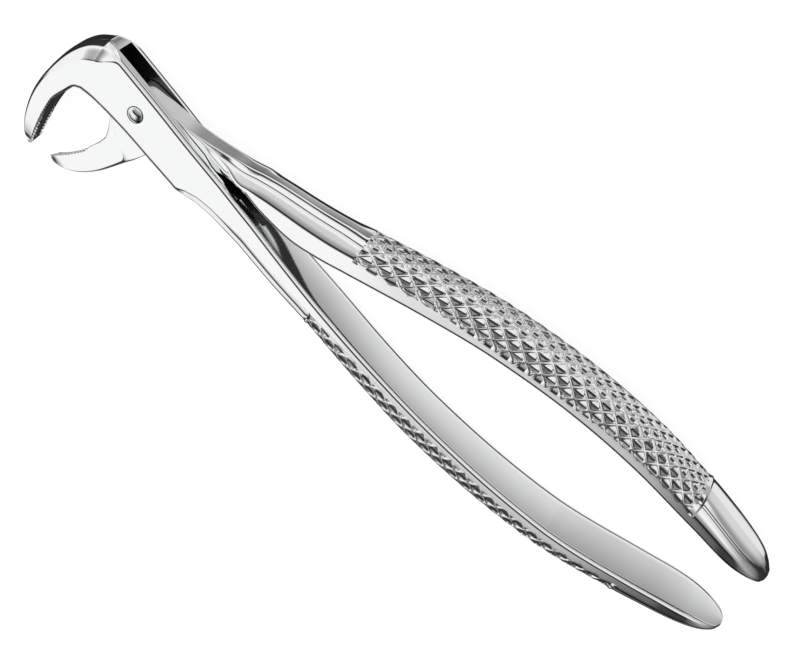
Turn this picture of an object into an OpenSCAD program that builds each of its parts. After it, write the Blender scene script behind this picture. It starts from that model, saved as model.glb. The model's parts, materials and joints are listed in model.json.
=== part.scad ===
// Extraction forceps with hooked beaks and a box joint.
// The tool lies flat: +X runs along the handles, +Y towards the inner (male) lever's
// handle, and +Z along the pivot pin. Drawn half open, in millimetres.

/* [Joint box] */
// Distance from the middle of the tool's width to the pivot
pivot_y = 2.3; // [2:0.1:3]
// Thickness of the box over both cheeks
box_t = 8.6; // [8:0.1:9.4]
// Width of the slot between the cheeks
slot_w = 4.6; // [4.2:0.1:4.8]
// Free play between the tongue and each cheek
slot_play = 0.15; // [0.1:0.01:0.25]
// Bevel along the long edges of the cheeks
cheek_bevel = 0.5; // [0.2:0.1:0.7]
// Bevel under the outer lever's shank, where it leaves the box
shank_bevel = 1.8; // [1:0.1:1.9]

/* [Pivot pin] */
// Radius of the pin's body
pin_r = 1.5; // [1.2:0.05:1.6]
// Running clearance between the pin and the tongue
pin_play = 0.04; // [0.02:0.01:0.08]
// Radius of the domed head
head_r = 1.75; // [1.7:0.05:2.2]
// How far the head stands proud of the cheek
head_h = 0.7; // [0.4:0.1:1]

/* [Handles] */
// X of the point where the shanks leave the box
shank_start = 30; // [29:0.5:31]
// X of the handle ends
handle_end = 150; // [146:0.5:154]
// X where the diamond grip begins
grip_start = 50; // [48:0.5:54]
// X where the diamond grip ends
grip_end = 128; // [120:0.5:132]
// Extra thickness that the diamond ridges add
grip_lift = 0.5; // [0.3:0.1:0.7]

/* [Hidden] */
$fn = 48;
steel = [0.80, 0.81, 0.83];
bright_steel = [0.88, 0.89, 0.91];
pin_steel = [0.72, 0.73, 0.75];

// The origin is the middle of the bounding box in plan, on the surface the tool lies on.
// Drawing starts from the point on the tool's middle line that is level with the pivot.
beak_reach = 20.7;
beak_drop = 21.9;
handle_spread = 20.07;
widest = 6.1;
row_shift = [(beak_reach - handle_end) / 2, (beak_drop - handle_spread) / 2, widest];

box_h = box_t / 2;
slot_h = slot_w / 2;
tongue_h = slot_h - slot_play;
bore_r = pin_r + pin_play;

// Handle shape along X: distance of the inner face from the middle line, half width,
// and thickness. Each pair is [x, value]; values between are smoothly joined.
inner_face = [[30, 0.1], [40, 2.8], [50, 5.3], [65, 8.7], [80, 11.2], [98, 12.6], [115, 12.2],
    [130, 10.1], [142, 8.2], [150, 7.9]];
half_width = [[30, 4.3], [40, 4.7], [52, 5.1], [80, 5.3], [105, 5.7], [122, 6.1], [134, 5.9],
    [141, 5.2], [146, 3.9], [149, 2.2], [150, 0.9]];
thickness = [[30, 8.3], [40, 7.9], [50, 6.9], [62, 7.0], [80, 7.3], [100, 6.9], [120, 5.9],
    [134, 5.1], [142, 4.4], [147, 3.4], [150, 1.6]];
side_band = [[30, 5.0], [42, 4.4], [52, 3.5], [66, 2.6], [90, 2.2], [110, 2.7], [130, 3.0],
    [142, 2.7], [150, 0.8]];
// The inner lever's shank leaves the tongue at tongue_end.
tongue_end = 26;
shank_face = [[26, 3.9], [31, 2.7], [38, 2.4], [44, 3.6], [50, 5.3]];
shank_half = [[26, 4.1], [38, 4.6], [50, 5.1]];
shank_back = [[26, 8.1], [30, 8.7], [40, 10.2], [50, 12.2]];

// Outline of a cheek, walked round from the beak end along the lower edge.
cheek_low = [[-12, -1.75], [-8, -1.6], [-0.8, -2.7], [13.8, -6.0], [shank_start, -8.6]];
cheek_top = [[shank_start, -0.1], [-7.5, 9.4], [-9.5, 9.7], [-11, 9.4], [-12, 8.9]];
// The slot is open along both long edges and closed towards the beak and the handle.
slot_end_x = -9.4;
slot_floor = [[13, -8], [15.5, -4.6], [22, -2.2], [shank_start + 2, 0.2]];
// Outline of the tongue that turns in the slot.
tongue_edge = [[-4.4, -4.6], [-5.0, -1.5], [-4.6, 3.5], [-2.4, 6.8], [4, 6.3], [11, 5.8], [14, 6.2],
    [20, 7.0], [tongue_end, 8.1], [tongue_end, 3.9], [18, 1.6], [10, -1.0], [5.6, -4.6], [3.7, -8.4],
    [-4.0, -6.2]];
// The shoulders are the wider part of the tongue that stands over the cheeks.
shoulder_edge = [[15, 6.3], [20, 7.0], [tongue_end, 8.1], [tongue_end, 3.9], [22.5, 5], [18, 5.9]];
shoulder_plan = [[15, -2.2], [tongue_end, -4.1], [tongue_end, 4.1], [15, 2.2]];

// Beaks: matching points on the inner and the outer side, from the root to the tip.
outer_beak_in = [[-12, -1.75], [-13.4, -2.6], [-14.4, -4.6], [-15.8, -7.6], [-16.3, -11.5],
    [-16.4, -15.6], [-16.3, -19.2], [-16.3, -21.2]];
outer_beak_out = [[-12, 8.9], [-14.8, 6.4], [-17.5, 2.8], [-19.8, -3], [-20.7, -9], [-20.3, -14.6],
    [-18.9, -19], [-16.9, -21.4]];
outer_beak_half = [4.3, 4.1, 3.9, 3.6, 3.4, 3.0, 2.4, 1.8];
inner_beak_in = [[-4.0, -6.2], [-3.7, -8.4], [-4.2, -11], [-5.6, -14], [-7.8, -17], [-10.2, -19.8],
    [-11.4, -21.2]];
inner_beak_out = [[3.6, -8.4], [2.2, -10.6], [0.6, -13.2], [-1.4, -16.2], [-4.2, -19.2], [-7.4, -21.2],
    [-10.6, -21.9]];
inner_beak_half = [2.15, 2.7, 3.1, 3.1, 2.8, 2.3, 1.7];

// Smooth value between the pairs of a list, with level tangents taken from the neighbours.
function pair_at(list, x, i = 0) =
    i >= len(list) - 2 || x < list[i + 1][0] ? i : pair_at(list, x, i + 1);
function slope(list, i) = let (a = max(i - 1, 0), b = min(i + 1, len(list) - 1))
    (list[b][1] - list[a][1]) / (list[b][0] - list[a][0]);
function smooth(list, x) = let (i = pair_at(list, x), w = list[i + 1][0] - list[i][0],
        t = (x - list[i][0]) / w, p = list[i][1], q = list[i + 1][1],
        m = slope(list, i) * w, n = slope(list, i + 1) * w)
    p * (2 * t ^ 3 - 3 * t ^ 2 + 1) + m * (t ^ 3 - 2 * t ^ 2 + t) + q * (3 * t ^ 2 - 2 * t ^ 3)
        + n * (t ^ 3 - t ^ 2);
// Smooth point at place t (0 to the last index) along a list of points.
function along(points, t) = let (flat_x = [for (i = [0:len(points) - 1]) [i, points[i][0]]],
        flat_y = [for (i = [0:len(points) - 1]) [i, points[i][1]]])
    [smooth(flat_x, t), smooth(flat_y, t)];
function along_value(values, t) = smooth([for (i = [0:len(values) - 1]) [i, values[i]]], t);

// One ring of a handle: a flat inner face, upright side bands and a faceted back.
function handle_ring(x, face, half, thick, band) = let (bulge = thick - band)
    [[x, face, half - 0.4], [x, face + 0.4, half], [x, face + band, half],
    [x, face + band + 0.65 * bulge, 0.74 * half], [x, face + thick, 0.32 * half],
    [x, face + thick, -0.32 * half], [x, face + band + 0.65 * bulge, -0.74 * half],
    [x, face + band, -half], [x, face + 0.4, -half], [x, face, 0.4 - half]];

// One ring of a beak between an inner and an outer point.
function beak_ring(inside, outside, half) =
    [for (w = [[0, 0.7], [0.12, 1], [0.66, 0.96], [0.9, 0.72], [1, 0.34], [1, -0.34], [0.9, -0.72],
        [0.66, -0.96], [0.12, -1], [0, -0.7]])
        let (p = inside + w[0] * (outside - inside)) [p[0], p[1], w[1] * half]];

// Joins a row of rings, each with the same number of points, into one closed solid.
module skin(rings) {
    n = len(rings[0]);
    last = len(rings) - 1;
    sides = [for (i = [0:last - 1], j = [0:n - 1]) let (k = (j + 1) % n)
        [i * n + j, i * n + k, (i + 1) * n + k, (i + 1) * n + j]];
    caps = [[for (j = [n - 1:-1:0]) j], [for (j = [0:n - 1]) last * n + j]];
    polyhedron(points = [for (ring = rings) each ring], faces = concat(sides, caps), convexity = 6);
}

// Handle stations: closer together where the rounded end closes.
function stations(first) = concat([for (x = [first:4:handle_end - 12]) x],
    [for (i = [0:8]) handle_end - 10 * (1 - i / 8) ^ 1.5]);
function grip(x) = x > grip_start && x < grip_end ? grip_lift : 0;

module outer_handle_solid() {
    skin([for (x = stations(shank_start))
        [for (p = handle_ring(x, smooth(inner_face, x), smooth(half_width, x),
            smooth(thickness, x) + grip(x), smooth(side_band, x))) [p[0], -p[1], -p[2]]]]);
}

module inner_handle_solid() {
    shank = [for (x = [tongue_end:3:grip_start - 2]) let (face = smooth(shank_face, x),
            thick = smooth(shank_back, x) - face)
        handle_ring(x, face, smooth(shank_half, x), thick, min(0.55 * thick, 4.2))];
    rest = [for (x = stations(grip_start))
        handle_ring(x, smooth(inner_face, x), smooth(half_width, x),
            smooth(thickness, x) + grip(x), smooth(side_band, x))];
    skin([for (ring = concat(shank, rest)) [for (i = [len(ring) - 1:-1:0]) mirror_z(ring[i])]]);
}
function mirror_z(p) = [p[0], p[1], -p[2]];

module beak(inside, outside, half) {
    steps = 3;
    last = (len(inside) - 1) * steps;
    skin([for (i = [last:-1:0]) let (t = i / steps)
        beak_ring(along(inside, t), along(outside, t), along_value(half, t))]);
}

module plate(outline, half) {
    translate([0, 0, -half]) linear_extrude(height = 2 * half) polygon(outline);
}

// Cuts the bevel along one straight edge from a to b, on both faces of the box.
module edge_bevel(a, b, bevel) {
    run = b - a;
    middle = (a + b) / 2;
    for (side = [-1, 1])
        translate([middle[0], middle[1], side * box_h]) rotate([0, 0, atan2(run[1], run[0])])
            rotate([45, 0, 0])
            cube([1.04 * norm(run), bevel * sqrt(2), bevel * sqrt(2)], center = true);
}

module at_pivot() {
    translate([0, pivot_y, 0]) children();
}

module bore(r, half) {
    at_pivot() cylinder(r = r, h = 2 * half + 2, center = true);
}

module joint_box() {
    color(steel) translate(row_shift) difference() {
        plate(concat(cheek_low, cheek_top), box_h);
        plate(concat([[slot_end_x, -12]], [[13, -12]], slot_floor, [[shank_start + 2, 16],
            [slot_end_x, 16]]), slot_h);
        edge_bevel(cheek_low[2], cheek_low[3], cheek_bevel);
        edge_bevel(cheek_low[3], cheek_low[4], shank_bevel);
        edge_bevel(cheek_top[0], cheek_top[1], cheek_bevel);
        bore(pin_r, box_h);
    }
}

module outer_beak() {
    color(steel) translate(row_shift) beak(outer_beak_in, outer_beak_out, outer_beak_half);
}

module outer_handle() {
    color(bright_steel) translate(row_shift) outer_handle_solid();
}

module joint_tongue() {
    color(steel) translate(row_shift) {
        difference() {
            plate(tongue_edge, tongue_h);
            bore(bore_r, tongue_h);
        }
        intersection() {
            plate(shoulder_edge, box_h);
            rotate([90, 0, 0]) linear_extrude(height = 40, center = true) polygon(shoulder_plan);
        }
    }
}

module inner_beak() {
    color(steel) translate(row_shift) beak(inner_beak_in, inner_beak_out, inner_beak_half);
}

module inner_handle() {
    color(bright_steel) translate(row_shift) inner_handle_solid();
}

// Rivet: a plain body, flush with the back cheek, and a domed head on the front cheek.
module pivot_pin() {
    dome_r = (head_r ^ 2 + head_h ^ 2) / (2 * head_h);
    color(pin_steel) translate(row_shift) at_pivot() {
        translate([0, 0, -box_h]) cylinder(r = pin_r, h = box_t);
        intersection() {
            translate([0, 0, box_h + head_h - dome_r]) sphere(r = dome_r);
            translate([0, 0, box_h]) cylinder(r = head_r, h = head_h);
        }
    }
}

outer_beak();
joint_box();
outer_handle();
inner_beak();
joint_tongue();
inner_handle();
pivot_pin();
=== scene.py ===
"""Looks of the extraction forceps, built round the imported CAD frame.

Shapes are drawn in millimetres in the design frame of the CAD: X along the handles, Y towards
the inner lever's handle, Z along the pin, with the pin's axis through (0, PIVOT_Y).
"""
import json
import math

import bmesh
import bpy
import numpy as np
from mathutils import Matrix, Vector


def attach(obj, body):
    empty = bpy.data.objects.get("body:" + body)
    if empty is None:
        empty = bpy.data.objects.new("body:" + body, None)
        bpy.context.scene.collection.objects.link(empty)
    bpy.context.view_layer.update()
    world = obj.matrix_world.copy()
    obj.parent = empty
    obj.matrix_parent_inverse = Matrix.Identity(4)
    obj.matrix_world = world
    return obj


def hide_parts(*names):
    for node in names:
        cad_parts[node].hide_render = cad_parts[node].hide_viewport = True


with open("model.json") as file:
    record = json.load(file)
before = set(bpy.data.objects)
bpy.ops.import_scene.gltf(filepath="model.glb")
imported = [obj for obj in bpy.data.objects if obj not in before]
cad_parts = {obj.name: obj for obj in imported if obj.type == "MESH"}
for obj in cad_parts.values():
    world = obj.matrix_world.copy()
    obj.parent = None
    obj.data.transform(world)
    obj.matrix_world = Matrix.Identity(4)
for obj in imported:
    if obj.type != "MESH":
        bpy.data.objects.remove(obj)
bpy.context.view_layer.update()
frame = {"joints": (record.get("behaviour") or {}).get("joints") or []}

MM = 0.001
PIVOT_Y = 2.3
hinge = frame["joints"][0]
PIN = np.array(hinge["pos_m"], float)


def row_points(points):
    """Design millimetres to metres in the row frame."""
    points = np.array(points, float)
    return PIN + (points - np.array([0.0, PIVOT_Y, 0.0])) * MM


# ---------------------------------------------------------------- shape tables
BOX_HALF = 4.3
SLOT_HALF = 2.3
TONGUE_HALF = 2.15
HANDLE_START = 30.0
HANDLE_END = 150.0
GRIP_START = 50.0
GRIP_END = 128.0
DIAMOND_LONG = 4.08
DIAMOND_SHRINK = 0.009
DIAMOND_WIDE = 3.0
DIAMOND_SINK = 0.46
ROWS_PER_DIAMOND = 14
ROW = DIAMOND_WIDE / ROWS_PER_DIAMOND
# The grip fades out between these two distances from the side band.
GRIP_FADE_FAR = 1.3
GRIP_FADE_NEAR = 0.5
# Nominal width of the last rows of side B, next to the side band, that keep the plain polish.
PLAIN_STRIP = 0.4
RIB_HEIGHT = 0.2
# Inner faces are slightly crowned and twisted; the far side has slanted facets.
FACE_CROWN = 0.2
FACE_TWIST = 0.055
FAR_SLANT = 0.36
FAR_FACET_IN = 1.5
FAR_FACET_WIDE = 0.67
BACK_FACET_WIDE = 1.0
TOOTH_PITCH = 0.78
TOOTH_DEPTH = 0.5
BOX_START = -11.8
BOX_STEP = 0.25
BOX_BEVEL = 0.95
BEVEL_GROWTH = 2.35
SHANK_START = 26.0
RELIEF_HALF = 2.95
PIN_RADIUS = 1.5
BOX_BORE = 1.51
TONGUE_BORE = 1.54
GROOVE_RADIUS = 1.8
HEAD_BASE = 4.38
SHARP_ANGLE = math.radians(38)

# Handles along X: inner face from the middle line, half width, thickness, side band.
inner_face = [(30, 0.1), (40, 2.8), (50, 5.3), (65, 8.7), (80, 11.2), (98, 12.6), (115, 12.2),
              (130, 10.1), (142, 8.2), (150, 7.9)]
half_width = [(30, 4.3), (40, 4.7), (52, 5.1), (80, 5.3), (105, 5.7), (122, 6.12), (134, 6.15),
              (141, 5.9), (146, 4.9), (149, 3.3), (150, 1.6)]
# How far the end of the outer lever's handle lies above the shared table.
outer_rise = [(112, 0.0), (124, 0.5), (136, 1.1), (146, 1.4), (150, 1.5)]
INNER_END = 148.6
thickness = [(30, 8.3), (40, 7.9), (50, 7.2), (62, 7.4), (80, 7.8), (100, 7.4), (120, 6.4),
             (134, 5.3), (142, 4.5), (147, 3.4), (150, 1.6)]
side_band = [(30, 5.0), (42, 4.4), (52, 3.5), (66, 2.6), (90, 2.2), (110, 2.7), (130, 3.0),
             (142, 2.7), (150, 0.8)]

# Outer lever's box between the beak and the handle: top edge, lower edge and lower bevel.
box_top = [(-12, 10.2), (-11, 10.4), (-9.5, 10.35), (-7.0, 9.8), (-4, 9.02), (4, 6.85), (12, 4.58),
           (30, -0.1)]
box_low = [(-12, -1.75), (-8, -1.6), (-0.8, -2.7), (6.5, -4.35), (13.8, -6.0), (15.5, -6.6), (18, -6.9),
           (22, -7.2), (30, -8.4)]
box_band = [(-12, BOX_BEVEL), (13.9, BOX_BEVEL), (14.6, 1.4), (15.6, 2.2), (18.4, 3.1), (22.2, 3.3),
            (30, 3.3)]

# Beaks: matching points on the inner and outer side, from the root to the tip, and half widths.
outer_beak_in = [(-12, -1.75), (-13.4, -2.6), (-14.4, -4.6), (-15.8, -7.6), (-16.3, -11.5),
                 (-16.4, -15.6), (-16.3, -19.2), (-16.3, -21.2)]
outer_beak_out = [(-12, 10.2), (-15.4, 7.5), (-17.9, 3.3), (-19.8, -3), (-20.7, -9), (-20.3, -14.6),
                  (-18.9, -19), (-16.9, -21.4)]
outer_beak_half = [4.3, 4.2, 4.0, 3.8, 3.6, 3.3, 2.9, 2.2]

# Inner lever: two rails from the beak tip through the tongue to the shank.
inner_beak_in = [(-11.4, -21.2), (-10.2, -19.8), (-7.8, -17), (-5.6, -14), (-4.2, -11), (-3.7, -8.4)]
inner_beak_out = [(-10.6, -21.9), (-7.4, -21.2), (-4.2, -19.2), (-1.4, -16.2), (0.6, -13.2),
                  (2.2, -10.6)]
inner_beak_half = [1.6, 2.0, 2.15, 2.2, 2.2, 2.15]
tongue_in = [(-4.0, -6.2), (-4.8, -3.0), (-5.0, 0.6), (-4.6, 3.5), (-3.6, 5.6), (-1.6, 6.8),
             (2, 6.55), (6, 6.15), (10, 5.85), (14, 6.2), (17, 6.6), (20, 7.1), (23, 7.55)]
tongue_out = [(3.6, -8.4), (4.6, -6.4), (5.6, -4.6), (6.5, -3.7), (7.4, -2.9), (8.6, -2.0),
              (10, -1.0), (11.6, -0.1), (13.2, 0.7), (15.2, 1.4), (17.6, 2.0), (20.2, 2.6), (23, 3.2)]
# Shank of the inner lever: inner face, half width, back, and how far the band lies below the back.
shank_face = [(26, 3.6), (31, 2.25), (38, 1.5), (44, 2.4), (50, 3.9)]
shank_half = [(26, 4.2), (38, 4.6), (50, 5.1)]
shank_back = [(26, 8.35), (30, 9.15), (40, 10.55), (50, 12.5)]
shank_band = [(26, 3.0), (38, 3.4), (50, 3.7)]
# How far the inner face of the inner lever's handle lies below the shared table.
inner_drop = [(50, 1.4), (58, 1.3), (80, 0.65), (98, 0.4), (115, 0.3), (140, 0.0)]


def smooth(table, x):
    """Smooth value between the pairs of a table, clamped at its ends."""
    x = min(max(x, table[0][0]), table[-1][0])
    i = 0
    while i < len(table) - 2 and x >= table[i + 1][0]:
        i += 1

    def slope(k):
        a = table[max(k - 1, 0)]
        b = table[min(k + 1, len(table) - 1)]
        return (b[1] - a[1]) / (b[0] - a[0])

    w = table[i + 1][0] - table[i][0]
    t = (x - table[i][0]) / w
    p, q = table[i][1], table[i + 1][1]
    m, n = slope(i) * w, slope(i + 1) * w
    return (p * (2 * t**3 - 3 * t**2 + 1) + m * (t**3 - 2 * t**2 + t)
            + q * (3 * t**2 - 2 * t**3) + n * (t**3 - t**2))


def linear(table, x):
    """Straight value between the pairs of a table."""
    return float(np.interp(x, [p[0] for p in table], [p[1] for p in table]))


def along(points, t):
    """Smooth point at place t, from 0 to the last index, along a list of points."""
    return np.array([smooth([(i, p[axis]) for i, p in enumerate(points)], t) for axis in (0, 1)])


def along_value(values, t):
    """Smooth value at place t along a list of values."""
    return smooth(list(enumerate(values)), t)


def ease(a, b, x):
    """Soft step from 0 at a to 1 at b; a may be the larger."""
    t = min(max((x - a) / (b - a), 0.0), 1.0)
    return t * t * (3 - 2 * t)


# ---------------------------------------------------------------- cross-sections
# Half of a section runs from the middle of side A to the middle of side B, as pairs of depth
# from A and distance from the mid-plane. Side A is a handle's inner face, the top of the box
# and the outside of a beak; side B is a handle's back and the inside of a beak.
# Every section has the same counts: points of a rounded corner, steps of side A's straight runs,
# and rows of side B.
CORNER_STEPS = 5
A_COUNTS = (7, 3, 5, 3, 7)
B_ROWS = 42


def fillet(before, corner, after, radius):
    """Points that round one corner."""
    d1, d2 = before - corner, after - corner
    l1, l2 = np.linalg.norm(d1), np.linalg.norm(d2)
    if l1 < 1e-6 or l2 < 1e-6:
        return [corner.copy() for _ in range(CORNER_STEPS)]
    cut = min(radius, 0.45 * l1, 0.45 * l2)
    p, q = corner + d1 / l1 * cut, corner + d2 / l2 * cut
    return [(1 - t) ** 2 * p + 2 * t * (1 - t) * corner + t * t * q
            for t in np.linspace(0, 1, CORNER_STEPS)]


def half_outline(corners, radii, round_back):
    """Half section as two lists: points of side A with the band, and the outline of side B."""
    corners = [np.array(c, float) for c in corners]
    rounded = [[corners[0]]]
    for k in range(1, len(corners) - 1):
        rounded.append(fillet(corners[k - 1], corners[k], corners[k + 1], radii[k - 1]))
    rounded.append([corners[-1]])
    front = []
    for k, count in enumerate(A_COUNTS):
        p, q = rounded[k][-1], rounded[k + 1][0]
        front += [p + (q - p) * t for t in np.linspace(0, 1, count + 1)[:-1]]
        if k < len(A_COUNTS) - 1:
            front += rounded[k + 1][:-1]
    # Side B runs from its middle back to the band: facets, mixed with an oval where asked.
    facets = [p for group in reversed(rounded[5:]) for p in reversed(group)]
    facets = np.array(facets)
    if round_back > 0:
        middle, edge = facets[0], facets[-1]
        lengths = np.concatenate([[0], np.cumsum(np.linalg.norm(np.diff(facets, axis=0), axis=1))])
        share = lengths / lengths[-1]
        angle = share * math.pi / 2
        oval = np.stack([edge[0] + (middle[0] - edge[0]) * np.cos(angle) ** 0.8,
                         edge[1] * np.sin(angle) ** 0.9], axis=1)
        facets = facets * (1 - round_back) + oval * round_back
    return front, facets


def grip_place(count):
    """X of a place counted in diamonds along the grip; the diamonds shorten towards the end."""
    return GRIP_START + DIAMOND_LONG / DIAMOND_SHRINK * (1 - math.exp(-DIAMOND_SHRINK * count))


def grip_count(x):
    """Diamonds from the start of the grip to x; the inverse of grip_place."""
    return -math.log(1 - DIAMOND_SHRINK * (x - GRIP_START) / DIAMOND_LONG) / DIAMOND_SHRINK


# Half profile of a diamond ridge: distance in grip rows and share of the full depth.
ridge_shape = [(0, 0.0), (1, 0.08), (2, 0.6), (3, 1.0)]
# Floor of a diamond across the grip, from the corner next to the middle of the back outwards.
diamond_floor = [(-0.5, 0.75), (-0.04, 0.2), (0.04, 0.85), (0.5, 1.0)]


def grip_cell(x, w):
    """Where x and w lie in their diamond.

    Gives the distances in rows from the ridges of both directions, the place across, which is
    positive away from the middle of the back, and the diamond's number from that middle."""
    along_count, across_count = grip_count(x), w / DIAMOND_WIDE
    p, q = along_count + across_count, along_count - across_count
    distances = [abs(v - round(v)) * ROWS_PER_DIAMOND for v in (p, q)]
    middle = (math.floor(p) - math.floor(q)) / 2
    place = (across_count - middle) * (1 if w >= 0 else -1)
    return distances, place, abs(middle)


def grip_depth(x, w):
    """Share of the full depth at x along and w across the grip; 0 is the top of a ridge.

    A diamond's floor rises to its middle, drops there and sinks a little more beyond."""
    distances, place, _ = grip_cell(x, w)
    ramps = [linear(ridge_shape, distance) for distance in distances]
    return min(ramps[0], ramps[1], linear(diamond_floor, place))


def grip_zone(x, w):
    """Steel look of a grip face, by its place in the diamond.

    1 is the ridges and the half towards the middle of the back, 2 and 3 are painted shade on the
    half beyond, and 4 is near-black painted shade on the short drop between them. The shade is
    set by place, whatever the light."""
    distances, place, row = grip_cell(x, w)
    ridge = min(distances)
    if abs(place) < 0.06 and ridge > (4.4 if row < 1.2 else 2.6):
        return 4
    if place > 0.04 and ridge > 2.0 and row > 0.8:
        return 3 if row > 1.3 else 2
    return 1


def bent_face(p, side, station):
    """Crown and slight twist of side A, with a slanted facet along the edge that faces away."""
    share = station.get("crown", 0.0)
    if share <= 0:
        return p
    half, fade = station["face_half"], station["face_fade"]
    z = side * p[1]
    bend = share * FACE_CROWN * (z / half) ** 2 + station["twist"] * z
    if side < 0:
        bend += share * FAR_SLANT * min(max(p[1] - half + FAR_FACET_IN, 0), FAR_FACET_WIDE)
    return np.array([p[0] + bend * (1 - ease(0.8 * fade, fade, p[0])), p[1]])


def sunk_depth(station, w, side, total):
    """How far side B is sunk at w across; negative where a rib stands up."""
    depth = -station["lift"]
    if station["grip"] > 0:
        fade = 1 - ease(total - GRIP_FADE_FAR, total - GRIP_FADE_NEAR, w)
        depth += station["grip"] * grip_depth(station["x"], side * w) * fade
    return depth


def side_b(station, back, rows, side):
    """Side B on one half of a ring: the plain rows with slanted facet, grip, ribs and carving."""
    points = [p.copy() for p in back]
    tangent = np.gradient(back, axis=0)
    total = rows[-1]
    if side < 0 and "back_slant" in station:
        start = station["back_edge"] - BACK_FACET_WIDE
        for p in points:
            p[0] -= station["back_slant"] * min(max(p[1] - start, 0), BACK_FACET_WIDE)
    if station.get("grip", 0) > 0 or station.get("lift", 0) > 0.01:
        for j, w in enumerate(rows):
            depth = sunk_depth(station, w, side, total)
            if w >= total - 1e-6:
                points[j] = points[j] - np.array([depth * 1.15, 0])
                continue
            t = tangent[j] / (np.linalg.norm(tangent[j]) + 1e-9)
            normal = np.array([t[1], -t[0]])
            if normal[0] < 0:
                normal = -normal
            points[j] = points[j] - normal * depth
    if "carve" in station:
        carved = [station["carve"](np.array([p[0], side * p[1]])) for p in points]
        points = [np.array([p[0], side * p[1]]) for p in carved]
    return points


def build_ring(station):
    """All points of one ring: front half from A to B, then the back half."""
    a, b = np.array(station["a"], float), np.array(station["b"], float)
    span = np.linalg.norm(b - a)
    direction = (b - a) / span
    front, facets = half_outline(station["corners"], station["radii"], station.get("oval", 0.0))
    lengths = np.concatenate([[0], np.cumsum(np.linalg.norm(np.diff(facets, axis=0), axis=1))])
    rows = np.minimum(np.arange(B_ROWS) * station.get("row", ROW), lengths[-1])
    rows[-1] = lengths[-1]
    back = np.stack([np.interp(rows, lengths, facets[:, 0]), np.interp(rows, lengths, facets[:, 1])],
                    axis=1)
    halves = []
    for side in (1, -1):
        half = [bent_face(p, side, station) for p in front] + side_b(station, back, rows, side)[::-1]
        halves.append([(a[0] + direction[0] * s, a[1] + direction[1] * s, side * z) for s, z in half])
    return halves[0] + halves[1][-2:0:-1]


def as_object(mesh, name):
    """Puts a finished bmesh into the scene as an object."""
    data = bpy.data.meshes.new(name)
    mesh.to_mesh(data)
    mesh.free()
    item = bpy.data.objects.new(name, data)
    bpy.context.scene.collection.objects.link(item)
    return item


def loft(name, stations):
    """One closed mesh through a row of rings."""
    rings = [build_ring(s) for s in stations]
    n = len(rings[0])
    half_n = n // 2
    mesh = bmesh.new()
    verts = [[mesh.verts.new(p) for p in row_points(ring)] for ring in rings]
    for i in range(len(rings) - 1):
        for j in range(n):
            k = (j + 1) % n
            quad = [verts[i][j], verts[i][k], verts[i + 1][k], verts[i + 1][j]]
            x = stations[i].get("x")
            if stations[i].get("grip", 0) > 0 and x is not None:
                # Split along the ridge that is nearer, so that the ridges stay straight.
                middle_count = grip_count(x) + 0.5 / ROWS_PER_DIAMOND
                across_count = (half_n - j - 0.5) / ROWS_PER_DIAMOND
                p, q = middle_count + across_count, middle_count - across_count
                if abs(p - round(p)) < abs(q - round(q)):
                    pair = [(quad[0], quad[1], quad[2]), (quad[0], quad[2], quad[3])]
                else:
                    pair = [(quad[0], quad[1], quad[3]), (quad[1], quad[2], quad[3])]
                w = across_count * DIAMOND_WIDE
                # Zones 2 and 3 are painted shade on the diamond floors, 4 is near-black painted shade on
                # the drops.
                zone = grip_zone(x + 0.5 * ROW, w) if abs(w) < B_ROWS * ROW - PLAIN_STRIP else 0
                for corners in pair:
                    mesh.faces.new(corners).material_index = zone
            else:
                mesh.faces.new(quad)
    for ring, order in ((verts[0], -1), (verts[-1], 1)):
        centre = mesh.verts.new(sum((v.co for v in ring), Vector()) / n)
        for j in range(n):
            tri = (ring[j], ring[(j + 1) % n], centre)
            mesh.faces.new(tri if order > 0 else tri[::-1])
    bmesh.ops.remove_doubles(mesh, verts=mesh.verts, dist=2e-7)
    bmesh.ops.dissolve_degenerate(mesh, dist=1e-7, edges=mesh.edges)
    bmesh.ops.recalc_face_normals(mesh, faces=mesh.faces)
    for face in mesh.faces:
        face.smooth = True
    return as_object(mesh, name)


# ---------------------------------------------------------------- handle sections
# Edge between an inner face and a side band, as depth and distance in from the full width.
EDGE = [(0.0, 0.83), (0.12, 0.41), (0.42, 0.09), (0.84, 0.0)]
INNER_LEVER_EDGE = [(0.0, 0.83), (0.12, 0.46), (0.3, 0.2), (0.84, 0.0)]


def handle_section(x, thick, half, band, edge=EDGE):
    """Corners and rounding of a handle or shank section at x."""
    bulge = thick - band
    end = ease(124, 131, x)
    grip = ease(44, 54, x) * (1 - end)
    shank = 1 - grip - end
    c1 = np.array([band + bulge * (0.72 * shank + 0.60 * grip + 0.70 * end),
                   half * (0.72 * shank + 0.80 * grip + 0.80 * end)])
    c2 = np.array([band + bulge * (1.0 * shank + 0.93 * grip + 0.91 * end),
                   half * (0.31 * shank + 0.42 * grip + 0.47 * end)])
    small = min(1.0, half / 3.0, thick / 4.0)
    corners = [(0.0, 0)] + [(depth * small, half - back * small) for depth, back in edge]
    corners += [(max(band, 0.9 * small), half), c1, c2, (thick, 0)]
    radii = [0.16, 0.12, 0.12, 0.12, 0.9, 0.7, 0.8]
    return corners, radii


def rib(offset, width):
    """Height of the low rib that closes an end of the grip, at an offset from its top."""
    return RIB_HEIGHT * math.exp(-(offset / width) ** 2)


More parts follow.
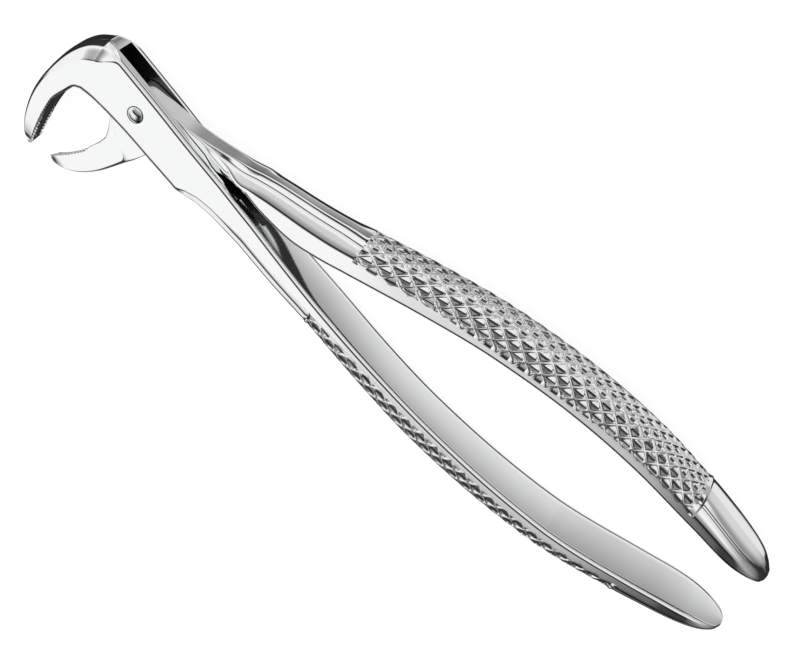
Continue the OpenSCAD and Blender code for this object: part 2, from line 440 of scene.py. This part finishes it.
def handle_station(x, side):
    """Handle station of the outer (side -1) or inner (side 1) lever."""
    place = x if side < 0 else x + (HANDLE_END - INNER_END) * ease(130, INNER_END, x)
    y = smooth(inner_face, place)
    thick, half, band = smooth(thickness, place), smooth(half_width, place), smooth(side_band, place)
    if side < 0:
        y -= linear(outer_rise, x)
    else:
        drop = linear(inner_drop, x)
        y, thick, band = y - drop, thick + drop, band + drop
    corners, radii = handle_section(x, thick, half, band, EDGE if side < 0 else INNER_LEVER_EDGE)
    grip = (DIAMOND_SINK * ease(GRIP_START - 0.2, GRIP_START + 0.5, x)
            * (1 - ease(GRIP_END - 0.5, GRIP_END + 0.2, x)))
    return {"a": (x, side * y), "b": (x, side * (y + thick)), "corners": corners, "radii": radii,
            "oval": 0.85 * ease(46, 56, x) * (1 - ease(125, 130, x)), "grip": grip, "x": x,
            "crown": 1.0, "face_half": half, "face_fade": 0.9 * band,
            "twist": FACE_TWIST * (1 - ease(45, 75, x)),
            "lift": rib(x - GRIP_START + 0.5, 0.25) + rib(x - GRIP_END - 0.9, 0.3)}


def handle_places(first, end):
    """Places along a handle: even, then by grip rows, then closer towards the rounded end."""
    places = list(np.arange(first, GRIP_START - 1, 0.6))
    last = int((grip_count(GRIP_END) + 0.3) * ROWS_PER_DIAMOND)
    grip = [grip_place(i / ROWS_PER_DIAMOND) for i in range(-3, last)]
    rest = list(np.arange(grip[-1] + 0.15, GRIP_END + 2, 0.15))
    rest += list(np.arange(rest[-1] + 0.4, end - 10, 0.6))
    tip = [end - 10 * (1 - i / 28) ** 1.6 for i in range(29)]
    return places + grip + rest + tip


# ---------------------------------------------------------------- outer lever
def tooth(length):
    """Height of the cut teeth at a length along a beak's rim, from 0 to 1."""
    phase = (length / TOOTH_PITCH) % 1.0
    return 1 - abs(2 * phase - 1)


def beak_station(a, b, half, length, teeth, hollow, twist=0.0, slim=0.0):
    """Beak station with cut teeth and a hollow.

    twist tilts the inside across the beak, and slim makes the bevels of the outside narrower."""
    span = math.hypot(b[0] - a[0], b[1] - a[1])
    wide = 1 - slim
    corners = [(0.0, 0),
               (0.0, (0.36 + 0.3 * slim) * half),
               ((0.04 + 0.06 * wide) * span, (0.74 + 0.14 * slim) * half),
               ((0.1 + 0.24 * wide) * span, (0.95 + 0.03 * slim) * half),
               ((0.12 + 0.24 * wide) * span, (0.96 + 0.03 * slim) * half),
               (0.9 * span, half),
               (0.97 * span, 0.93 * half),
               (span, 0.72 * half),
               (span - hollow, 0)]
    radii = [0.4, 0.4, 0.3, 0.05, 0.25, 0.15, 0.4]

    def carve(p):
        rim = ease(0.45 * half, 0.7 * half, abs(p[1])) * ease(0.86 * span, 0.95 * span, p[0])
        turned = twist * p[1] * ease(0.3 * span, span, p[0])
        return np.array([p[0] - teeth * TOOTH_DEPTH * tooth(length) * rim + turned, p[1]])

    return {"a": tuple(a), "b": tuple(b), "corners": corners, "radii": radii, "carve": carve,
            "row": max(0.12, half / 30)}


def beak_stations(outside, inside, halves, places, shape):
    """Beak stations at places along two rails; shape gives teeth, hollow, twist and slim."""
    stations, length, last = [], 0.0, None
    for t in places:
        a, b = along(outside, t), along(inside, t)
        if last is not None:
            length += float(np.linalg.norm(b - last))
        last = b
        stations.append(beak_station(a, b, along_value(halves, t), length, *shape(t)))
    return stations


def mix_stations(first, second, share):
    """The first station with its section mixed towards that of the second."""
    corners = [tuple(np.array(p) * (1 - share) + np.array(q) * share)
               for p, q in zip(first["corners"], second["corners"])]
    radii = [p * (1 - share) + q * share for p, q in zip(first["radii"], second["radii"])]
    mixed = dict(first)
    mixed.update(corners=corners, radii=radii)
    return mixed


def box_section(top, low, x):
    """Corners and rounding of the box at x; its lower bevel grows towards the handle."""
    span = top - low
    bevel = linear(box_band, x)
    half = BOX_HALF
    grown = max(bevel - BOX_BEVEL, 0) / BEVEL_GROWTH
    c1 = (span - 0.13 - grown * 1.07, half - 0.24 - grown * 0.86)
    c2 = (span, half - 0.75 - grown * 2.05)
    corners = [(0.0, 0)] + [(depth, half - back) for depth, back in EDGE]
    corners += [(span - bevel, half), c1, c2, (span, 0)]
    return corners, [0.16, 0.12, 0.12, 0.12, 0.2, 0.25, 0.3]


def outer_beak_shape(t):
    """Teeth, hollow, twist and slim of the outer lever's beak, from the root at 0 to the tip at 7."""
    return (ease(7.0, 6.7, t) * ease(2.7, 3.2, t), 0.9 * ease(1.0, 3.0, t) * ease(7.0, 6.2, t),
            0.08 * ease(1.5, 4, t), 0.6 * ease(1.5, 3.5, t))


def box_station(x):
    """Station of the box, mixed into the beak's root at one end and the handle at the other."""
    top, low = smooth(box_top, x), smooth(box_low, x)
    a, b = (x, top), (x, low)
    corners, radii = box_section(top, low, x)
    box = {"a": a, "b": b, "corners": corners, "radii": radii, "row": linear([(16, 0.16), (28, ROW)], x)}
    if x < -7:
        box = mix_stations(beak_station(a, b, BOX_HALF, 0, 0, 0), box, ease(-12, -7.2, x))
        box.pop("carve")
    if x > 22:
        corners, radii = handle_section(x, top - low, BOX_HALF, (top - low) - linear(box_band, x))
        box = mix_stations(box, {"corners": corners, "radii": radii}, ease(22, HANDLE_START, x))
    box.update(crown=ease(BOX_START, -7, x), face_half=BOX_HALF, face_fade=3.0,
               twist=FACE_TWIST * ease(20, HANDLE_START, x))
    return box


def outer_stations():
    """Outer lever from the tip of its beak to the end of its handle."""
    stations = beak_stations(outer_beak_out, outer_beak_in, outer_beak_half, np.linspace(7, 0, 300),
                             outer_beak_shape)
    stations += [box_station(x) for x in np.arange(BOX_START, HANDLE_START, BOX_STEP)]
    stations += [handle_station(x, -1) for x in handle_places(HANDLE_START, HANDLE_END)]
    return stations


# ---------------------------------------------------------------- inner lever
# Shoulder of the inner lever along X: depths below the top and distances from the mid-plane.
ridge_half = [(10, 1.95), (18, 1.7), (26, 1.3)]
facet_depth = [(10, 0.12), (12, 0.25), (17.5, 0.75), (26, 0.84)]
facet_half = [(10, 2.12), (12, 2.15), (17.5, 2.6), (26, 3.05)]
band_depth = [(10, 0.3), (12, 0.4), (18, 1.0), (21, 1.7), (26, 3.0)]
band_half = [(10, 2.14), (12, 2.17), (18, 2.85), (21, 3.4), (26, 4.2)]
step_depth = [(10, 0.35), (12, 0.45), (18, 1.1), (22.5, 2.9), (26, 3.9)]


def tongue_section(span, x):
    """Plain tongue, or the tongue with a shoulder that stands over the cheeks."""
    step = span - linear(step_depth, x)
    half = linear(band_half, x)
    corners = [(0.0, 0),
               (0.0, TONGUE_HALF - 0.25),
               (0.1, TONGUE_HALF - 0.1),
               (step, TONGUE_HALF),
               (step + 0.03, half - 0.02),
               (span - linear(band_depth, x), half),
               (span - linear(facet_depth, x), linear(facet_half, x)),
               (span, linear(ridge_half, x)),
               (span, 0)]
    return corners, [0.2, 0.2, 0.05, 0.05, 0.3, 0.3, 0.3]


def inner_beak_shape(t):
    """Teeth, hollow, twist and slim of the inner lever's beak, from the tip at 0 to the root at 5."""
    return (ease(0.0, 0.3, t) * ease(3.4, 2.8, t), 0.8 * ease(4.6, 3.0, t) * ease(0.0, 0.8, t),
            0.3 * ease(5, 3.5, t), 1.0)


def tongue_stations():
    """Tongue from the beak's root to the shank, along two rails."""
    rails_a = [inner_beak_out[-1]] + tongue_out + [(SHANK_START, smooth(shank_face, SHANK_START))]
    rails_b = [inner_beak_in[-1]] + tongue_in + [(SHANK_START, smooth(shank_back, SHANK_START))]
    count = len(rails_a) - 1
    stations = []
    for t in np.linspace(0, count, 150)[1:-1]:
        a, b = along(rails_a, t), along(rails_b, t)
        span = float(np.linalg.norm(b - a))
        corners, radii = tongue_section(span, b[0])
        station = {"a": tuple(a), "b": tuple(b), "corners": corners, "radii": radii,
                   "row": linear([(12, 0.16), (24, ROW)], b[0])}
        if t < 2.0:
            root = beak_station(a, b, TONGUE_HALF, 0, 0, 0, 0.0, 1.0)
            station = mix_stations(root, station, ease(0, 2.0, t))
            station.pop("carve")
        if t > count - 2:
            corners, radii = handle_section(SHANK_START, span, shank_half[0][1], span - shank_band[0][1],
                                          INNER_LEVER_EDGE)
            station = mix_stations(station, {"corners": corners, "radii": radii},
                                   ease(count - 2, count, t))
        stations.append(station)
    return stations


def shank_station(x):
    """Station of the inner lever's shank, mixed into its handle."""
    face, half = smooth(shank_face, x), smooth(shank_half, x)
    thick = smooth(shank_back, x) - face
    band = thick - linear(shank_band, x)
    corners, radii = handle_section(x, thick, half, band, INNER_LEVER_EDGE)
    later = handle_station(x, 1)
    shank = {"a": (x, face), "b": (x, face + thick), "corners": corners, "radii": radii, "x": x,
             "grip": 0.0, "oval": later["oval"], "crown": ease(SHANK_START, 34, x),
             "back_edge": 0.31 * half,
             "back_slant": FAR_SLANT * ease(SHANK_START, 30, x) * (1 - ease(45, 50, x)),
             "face_half": half, "face_fade": 0.9 * band, "twist": FACE_TWIST * ease(SHANK_START, 40, x)}
    return mix_stations(shank, later, ease(44, GRIP_START, x))


def inner_stations():
    """Inner lever from the tip of its beak to the end of its handle."""
    stations = beak_stations(inner_beak_out, inner_beak_in, inner_beak_half, np.linspace(0, 5, 220),
                             inner_beak_shape)
    stations += tongue_stations()
    for x in handle_places(SHANK_START, INNER_END):
        stations.append(shank_station(x) if x < GRIP_START else handle_station(x, 1))
    return stations


# ---------------------------------------------------------------- cutters
def prism(name, outline, low, high):
    """Upright prism over an outline, as a cutter."""
    mesh = bmesh.new()
    rings = [[mesh.verts.new(p) for p in row_points([(x, y, z) for x, y in outline])]
             for z in (low, high)]
    n = len(outline)
    mesh.faces.new(rings[0][::-1])
    mesh.faces.new(rings[1])
    for j in range(n):
        k = (j + 1) % n
        mesh.faces.new((rings[0][j], rings[0][k], rings[1][k], rings[1][j]))
    bmesh.ops.recalc_face_normals(mesh, faces=mesh.faces)
    return as_object(mesh, name)


def cut(piece, cutter):
    """Takes the cutter out of the piece and keeps the result."""
    change = piece.modifiers.new("cut", "BOOLEAN")
    change.operation = "DIFFERENCE"
    change.solver = "EXACT"
    change.object = cutter
    change.material_mode = "TRANSFER"
    bpy.context.view_layer.update()
    graph = bpy.context.evaluated_depsgraph_get()
    data = bpy.data.meshes.new_from_object(piece.evaluated_get(graph))
    piece.modifiers.clear()
    old = piece.data
    piece.data = data
    bpy.data.meshes.remove(old)
    shape = cutter.data
    bpy.data.objects.remove(cutter)
    bpy.data.meshes.remove(shape)


def circle(radius, count=64):
    """Circle round the pin's axis."""
    turns = [2 * math.pi * i / count for i in range(count)]
    return [(radius * math.cos(turn), PIVOT_Y + radius * math.sin(turn)) for turn in turns]


def lathe(name, profile, count=96):
    """Solid of revolution about the pin's axis, from pairs of radius and height."""
    mesh = bmesh.new()
    rings = []
    for radius, height in profile:
        if radius < 1e-6:
            rings.append([mesh.verts.new(row_points((0, PIVOT_Y, height)))])
            continue
        points = [(x, y, height) for x, y in circle(radius, count)]
        rings.append([mesh.verts.new(p) for p in row_points(points)])
    for lower, upper in zip(rings, rings[1:]):
        for i in range(count):
            k = (i + 1) % count
            if len(lower) == 1:
                mesh.faces.new((lower[0], upper[k], upper[i]))
            elif len(upper) == 1:
                mesh.faces.new((lower[i], lower[k], upper[0]))
            else:
                mesh.faces.new((lower[i], lower[k], upper[k], upper[i]))
    bmesh.ops.recalc_face_normals(mesh, faces=mesh.faces)
    for face in mesh.faces:
        face.smooth = True
    return as_object(mesh, name)


def pin_profile():
    """Pin from its flat back end, with a fine ring cut in it, to the dome; radius and height."""
    rise, reach = 0.5, 1.62
    sphere = (reach ** 2 + rise ** 2) / (2 * rise)
    widest = math.asin(reach / sphere)
    dome = [(sphere * math.sin(a), HEAD_BASE + rise - sphere * (1 - math.cos(a)))
            for a in np.linspace(widest, 0, 24)]
    return ([(0, -4.3), (1.2, -4.3), (1.3, -4.25), (1.34, -4.15), (1.38, -4.25), (1.48, -4.28),
             (PIN_RADIUS, -4.1), (PIN_RADIUS, 4.22), (1.6, 4.22), (1.63, 4.3)]
            + dome[:-1] + [(0, HEAD_BASE + rise)])


# ---------------------------------------------------------------- materials
def nodes_of(name):
    """New material with only an output and a shader."""
    material = bpy.data.materials.new(name)
    material.use_nodes = True
    tree = material.node_tree
    tree.nodes.clear()
    out = tree.nodes.new("ShaderNodeOutputMaterial")
    shader = tree.nodes.new("ShaderNodeBsdfPrincipled")
    tree.links.new(shader.outputs["BSDF"], out.inputs["Surface"])
    return material, tree, shader


def noise(tree, coord, scale, detail, stretch=(1, 1, 1)):
    mapping = tree.nodes.new("ShaderNodeMapping")
    mapping.inputs["Scale"].default_value = stretch
    texture = tree.nodes.new("ShaderNodeTexNoise")
    texture.inputs["Scale"].default_value = scale
    texture.inputs["Detail"].default_value = detail
    tree.links.new(coord, mapping.inputs["Vector"])
    tree.links.new(mapping.outputs["Vector"], texture.inputs["Vector"])
    return texture.outputs["Fac"]


def ramp(tree, value, low, high):
    """Maps the middle of a noise, 0.3 to 0.7, onto low to high."""
    node = tree.nodes.new("ShaderNodeMapRange")
    node.inputs["From Min"].default_value = 0.3
    node.inputs["From Max"].default_value = 0.7
    node.inputs["To Min"].default_value = low
    node.inputs["To Max"].default_value = high
    tree.links.new(value, node.inputs["Value"])
    return node.outputs["Result"]


def steel(name, tone, rough, scratch=0.02, grain=0.0):
    """Bare steel with a slightly cloudy polish and fine scratches along the tool."""
    material, tree, shader = nodes_of(name)
    coord = tree.nodes.new("ShaderNodeTexCoord").outputs["Object"]
    shader.inputs["Metallic"].default_value = 1.0
    cloud = noise(tree, coord, 180.0, 4.0)
    fine = noise(tree, coord, 900.0, 2.0, (0.12, 1.0, 1.0))
    mix = tree.nodes.new("ShaderNodeMix")
    mix.data_type = "RGBA"
    tree.links.new(cloud, mix.inputs["Factor"])
    low = [c * 0.97 for c in tone]
    mix.inputs["A"].default_value = (*low, 1)
    mix.inputs["B"].default_value = (*tone, 1)
    tree.links.new(mix.outputs["Result"], shader.inputs["Base Color"])
    total = tree.nodes.new("ShaderNodeMath")
    total.operation = "ADD"
    tree.links.new(ramp(tree, cloud, rough * 0.85, rough * 1.2), total.inputs[0])
    tree.links.new(ramp(tree, fine, 0.0, scratch), total.inputs[1])
    tree.links.new(total.outputs[0], shader.inputs["Roughness"])
    bump = tree.nodes.new("ShaderNodeBump")
    bump.inputs["Strength"].default_value = 0.03 + grain
    bump.inputs["Distance"].default_value = 0.00002
    tree.links.new(fine, bump.inputs["Height"])
    tree.links.new(bump.outputs["Normal"], shader.inputs["Normal"])
    return material


polished = steel("polished_steel_look", (0.93, 0.935, 0.94), 0.07)
satin = steel("grip_steel_look", (0.92, 0.925, 0.93), 0.15, 0.04, 0.1)
# The next two looks are painted shade on the outer half of the grip's diamond floors, deeper away from
# the middle of the back.
painted_shade_floor = steel("painted_shade_floor_steel_look", (0.70, 0.705, 0.71), 0.2, 0.05, 0.1)
deep_painted_shade_floor = steel("deep_painted_shade_floor_steel_look", (0.42, 0.425, 0.43), 0.24, 0.05, 0.1)
# Near-black steel: painted shade in the slot, in the grooves round the pin and on the drops in the grip.
shadowed = steel("near_black_painted_shade_steel_look", (0.10, 0.10, 0.105), 0.35)
pin_look = steel("pin_steel_look", (0.86, 0.87, 0.88), 0.08)

# ---------------------------------------------------------------- build
outer = loft("outer_lever_body", outer_stations())
inner = loft("inner_lever_body", inner_stations())
# The order of the looks is what grip_zone gives: 0 polished, then 1 to 4; 2 to 4 are painted shade.
for piece in (outer, inner):
    for look in (polished, satin, painted_shade_floor, deep_painted_shade_floor, shadowed):
        piece.data.materials.append(look)

slot_outline = [(-9.4, 16), (-9.4, -12), (13, -12), (13, -8), (15.5, -4.6), (18.5, -3.1), (22, -2.3),
                (26, -1.6), (32, -0.75), (32, 16)]
slot_cutter = prism("slot_cutter", slot_outline, -SLOT_HALF, SLOT_HALF)
# The slot's cut walls take the near-black steel: painted shade inside the slot.
slot_cutter.data.materials.append(shadowed)
cut(outer, slot_cutter)
# Relief along the top of the cheeks, under the shoulder of the inner lever.
relief = [(13.5, 16), (13.5, smooth(box_top, 13.5) + 0.3), (17.5, smooth(box_top, 17.5) - 0.7),
          (24.6, smooth(box_top, 24.6) - 1.0), (26, smooth(box_top, 26) + 0.5), (26, 16)]
cut(outer, prism("shoulder_relief", relief, -RELIEF_HALF, RELIEF_HALF))
# Groove round the pin on the front and the back cheek; its cut faces take the near-black steel, painted
# shade in the groove.
for low, high in ((4.08, 4.6), (-4.6, -4.1)):
    head_cutter = prism("head_groove", circle(GROOVE_RADIUS), low, high)
    head_cutter.data.materials.append(shadowed)
    cut(outer, head_cutter)
cut(outer, prism("box_bore", circle(BOX_BORE), -6, 6))
cut(inner, prism("tongue_bore", circle(TONGUE_BORE), -6, 6))
for piece in (outer, inner):
    piece.data.set_sharp_from_angle(angle=SHARP_ANGLE)

pin = lathe("pin_body", pin_profile())
pin.data.materials.append(pin_look)

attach(outer, "outer_lever")
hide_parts("outer_beak", "joint_box", "outer_handle")
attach(inner, "inner_lever")
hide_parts("inner_beak", "joint_tongue", "inner_handle")
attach(pin, "outer_lever")
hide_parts("pivot_pin")


# ---------------------------------------------------------------- stage
def make_floor():
    """Near-white floor: mostly its own glow, with a dull part that takes faint shadows."""
    mesh = bmesh.new()
    size = 3.0
    corners = [(-size, -size, 0), (size, -size, 0), (size, size, 0), (-size, size, 0)]
    mesh.faces.new([mesh.verts.new(p) for p in corners])
    floor = as_object(mesh, "studio_floor")
    floor.location.z = -0.0002
    material = bpy.data.materials.new("floor_look")
    material.use_nodes = True
    tree = material.node_tree
    tree.nodes.clear()
    out = tree.nodes.new("ShaderNodeOutputMaterial")
    glow = tree.nodes.new("ShaderNodeEmission")
    glow.inputs["Color"].default_value = (1, 1, 1, 1)
    glow.inputs["Strength"].default_value = 0.92
    matte = tree.nodes.new("ShaderNodeBsdfDiffuse")
    matte.inputs["Color"].default_value = (0.16, 0.16, 0.16, 1)
    both = tree.nodes.new("ShaderNodeAddShader")
    tree.links.new(glow.outputs[0], both.inputs[0])
    tree.links.new(matte.outputs[0], both.inputs[1])
    tree.links.new(both.outputs[0], out.inputs["Surface"])
    floor.data.materials.append(material)
    floor.visible_glossy = False


def tone_ramp(tree, value, tones, low, span):
    """Grey colour ramp through pairs of place and tone, with places from low over span."""
    node = tree.nodes.new("ShaderNodeValToRGB")
    elements = node.color_ramp.elements
    for element, (place, tone) in zip(elements, (tones[0], tones[-1])):
        element.position = (place - low) / span
        element.color = (tone, tone, tone, 1)
    for place, tone in tones[1:-1]:
        element = elements.new((place - low) / span)
        element.color = (tone, tone, tone, 1)
    tree.links.new(value, node.inputs["Fac"])
    return node.outputs["Color"]


def unit_range(tree, value):
    """Maps -1 to 1 onto 0 to 1."""
    node = tree.nodes.new("ShaderNodeMapRange")
    node.inputs["From Min"].default_value = -1
    tree.links.new(value, node.inputs["Value"])
    return node.outputs["Result"]


def mixed(tree, factor, first, second):
    """Mix of two colours by a factor, or their product where factor is None."""
    node = tree.nodes.new("ShaderNodeMix")
    node.data_type = "RGBA"
    if factor is None:
        node.blend_type = "MULTIPLY"
        node.inputs["Factor"].default_value = 1.0
    else:
        tree.links.new(factor, node.inputs["Factor"])
    colours = [item for item in node.inputs if item.type == "RGBA"]
    tree.links.new(first, colours[0])
    tree.links.new(second, colours[1])
    return [item for item in node.outputs if item.type == "RGBA"][0]


def make_world():
    """Studio seen in the steel: white boxes parted by dark strips that run along the tool.

    The tones depend on direction only and were tuned for the camera's view."""
    world = bpy.data.worlds.new("studio")
    bpy.context.scene.world = world
    world.use_nodes = True
    tree = world.node_tree
    tree.nodes.clear()
    out = tree.nodes.new("ShaderNodeOutputWorld")
    back = tree.nodes.new("ShaderNodeBackground")
    tree.links.new(back.outputs[0], out.inputs["Surface"])
    coord = tree.nodes.new("ShaderNodeTexCoord")
    parts = tree.nodes.new("ShaderNodeSeparateXYZ")
    tree.links.new(coord.outputs["Generated"], parts.inputs[0])
    angle = tree.nodes.new("ShaderNodeMath")
    angle.operation = "ARCTAN2"
    tree.links.new(parts.outputs["Z"], angle.inputs[0])
    tree.links.new(parts.outputs["Y"], angle.inputs[1])
    turn = tree.nodes.new("ShaderNodeMapRange")
    turn.inputs["From Min"].default_value = -math.pi
    turn.inputs["From Max"].default_value = math.pi
    tree.links.new(angle.outputs[0], turn.inputs["Value"])

    def by_turn(tones):
        """Tones by degrees from +Y towards +Z."""
        return tone_ramp(tree, turn.outputs["Result"], tones, -180, 360)

    def by_axis(axis, tones):
        """Tones by one part of the direction, from -1 to 1."""
        return tone_ramp(tree, unit_range(tree, parts.outputs[axis]), tones, -1, 2)

    strips = by_turn([
        (-180, 0.95), (-172, 0.9), (-167, 0.04), (-88, 0.02), (-82, 0.85), (-60, 0.86), (-53, 0.72),
        (-44, 0.46), (-38, 0.38), (-32, 0.9), (-24, 0.95), (-19, 0.03), (-9, 0.02), (-5, 0.95),
        (13, 1.0), (17, 0.05), (25, 0.05), (29, 0.82), (48, 0.85), (60, 1.0), (78, 0.42), (94, 0.3),
        (98, 0.03), (109, 0.03), (115, 1.0), (140, 1.0), (146, 0.6), (153, 0.5), (158, 0.04),
        (170, 0.04), (175, 0.9), (180, 0.95)])
    # The surroundings on the -Y side fall off towards +X.
    front = by_turn([(-180, 1), (-160, 0), (95, 0), (110, 1), (180, 1)])
    fall = by_axis("X", [
        (-1, 1.0), (-0.1, 1.0), (-0.05, 0.94), (-0.03, 0.84), (0, 0.77), (0.06, 0.68), (0.1, 0.6),
        (0.13, 0.5), (0.16, 0.37), (0.19, 0.22), (0.23, 0.16), (0.28, 0.05), (1, 0.04)])
    dimmed = mixed(tree, front, strips, mixed(tree, None, strips, fall))
    # What the inner faces see fades towards -X.
    below = by_turn([(-180, 0), (-72, 0), (-62, 1), (-44, 1), (-34, 0), (180, 0)])
    shade = by_axis("X", [(-1, 0.2), (-0.4, 0.22), (-0.3, 0.36), (-0.2, 0.6), (-0.1, 0.8), (0, 0.9),
                          (0.1, 1.0), (0.3, 0.9), (1, 0.9)])
    dimmed = mixed(tree, below, dimmed, mixed(tree, None, dimmed, shade))
    # Beyond the boxes' ends the room is dark below, and above it is white towards -X, grey towards +X.
    left = by_axis("Z", [(-1, 0.02), (-0.05, 0.03), (0.15, 0.95), (1, 1.0)])
    right = by_axis("Z", [(-1, 0.02), (0, 0.04), (0.4, 0.3), (1, 0.6)])
    to_left = by_axis("X", [(-1, 1), (-0.75, 1), (-0.55, 0), (1, 0)])
    to_right = by_axis("X", [(-1, 0), (0.5, 0), (0.75, 1), (1, 1)])
    dimmed = mixed(tree, to_left, dimmed, left)
    dimmed = mixed(tree, to_right, dimmed, right)
    tree.links.new(dimmed, back.inputs["Color"])
    back.inputs["Strength"].default_value = 1.0


def make_light(name, place, aim, size, power):
    """Soft square light that doesn't show in reflections."""
    lamp = bpy.data.lights.new(name, "AREA")
    lamp.size = size
    lamp.energy = power
    item = bpy.data.objects.new(name, lamp)
    bpy.context.scene.collection.objects.link(item)
    item.location = place
    item.rotation_mode = "QUATERNION"
    item.rotation_quaternion = (Vector(aim) - Vector(place)).to_track_quat("-Z", "Y")
    item.visible_glossy = False


def make_camera():
    """Looks down at the tool, which slants across the picture."""
    tilt, roll, distance = math.radians(37), math.radians(39), 0.311
    toward = Vector((0, math.sin(tilt), math.cos(tilt)))
    across, up = Vector((1, 0, 0)), Vector((0, math.cos(tilt), -math.sin(tilt)))
    right = math.cos(roll) * across + math.sin(roll) * up
    top = -math.sin(roll) * across + math.cos(roll) * up
    data = bpy.data.cameras.new("view")
    data.sensor_width = 36
    data.lens = 72
    data.clip_start = 0.01
    data.clip_end = 10
    item = bpy.data.objects.new("view", data)
    bpy.context.scene.collection.objects.link(item)
    target = Vector(row_points((65.5, -1.7, 0)))
    place = target + toward * distance
    axes = Matrix((right, top, toward)).transposed().to_4x4()
    item.matrix_world = Matrix.Translation(place) @ axes
    bpy.context.scene.camera = item


make_floor()
make_world()
make_light("soft_key", (-0.25, -0.1, 0.5), (0, 0, 0), 0.5, 2.0)
make_camera()
bpy.context.scene.view_settings.view_transform = "Standard"
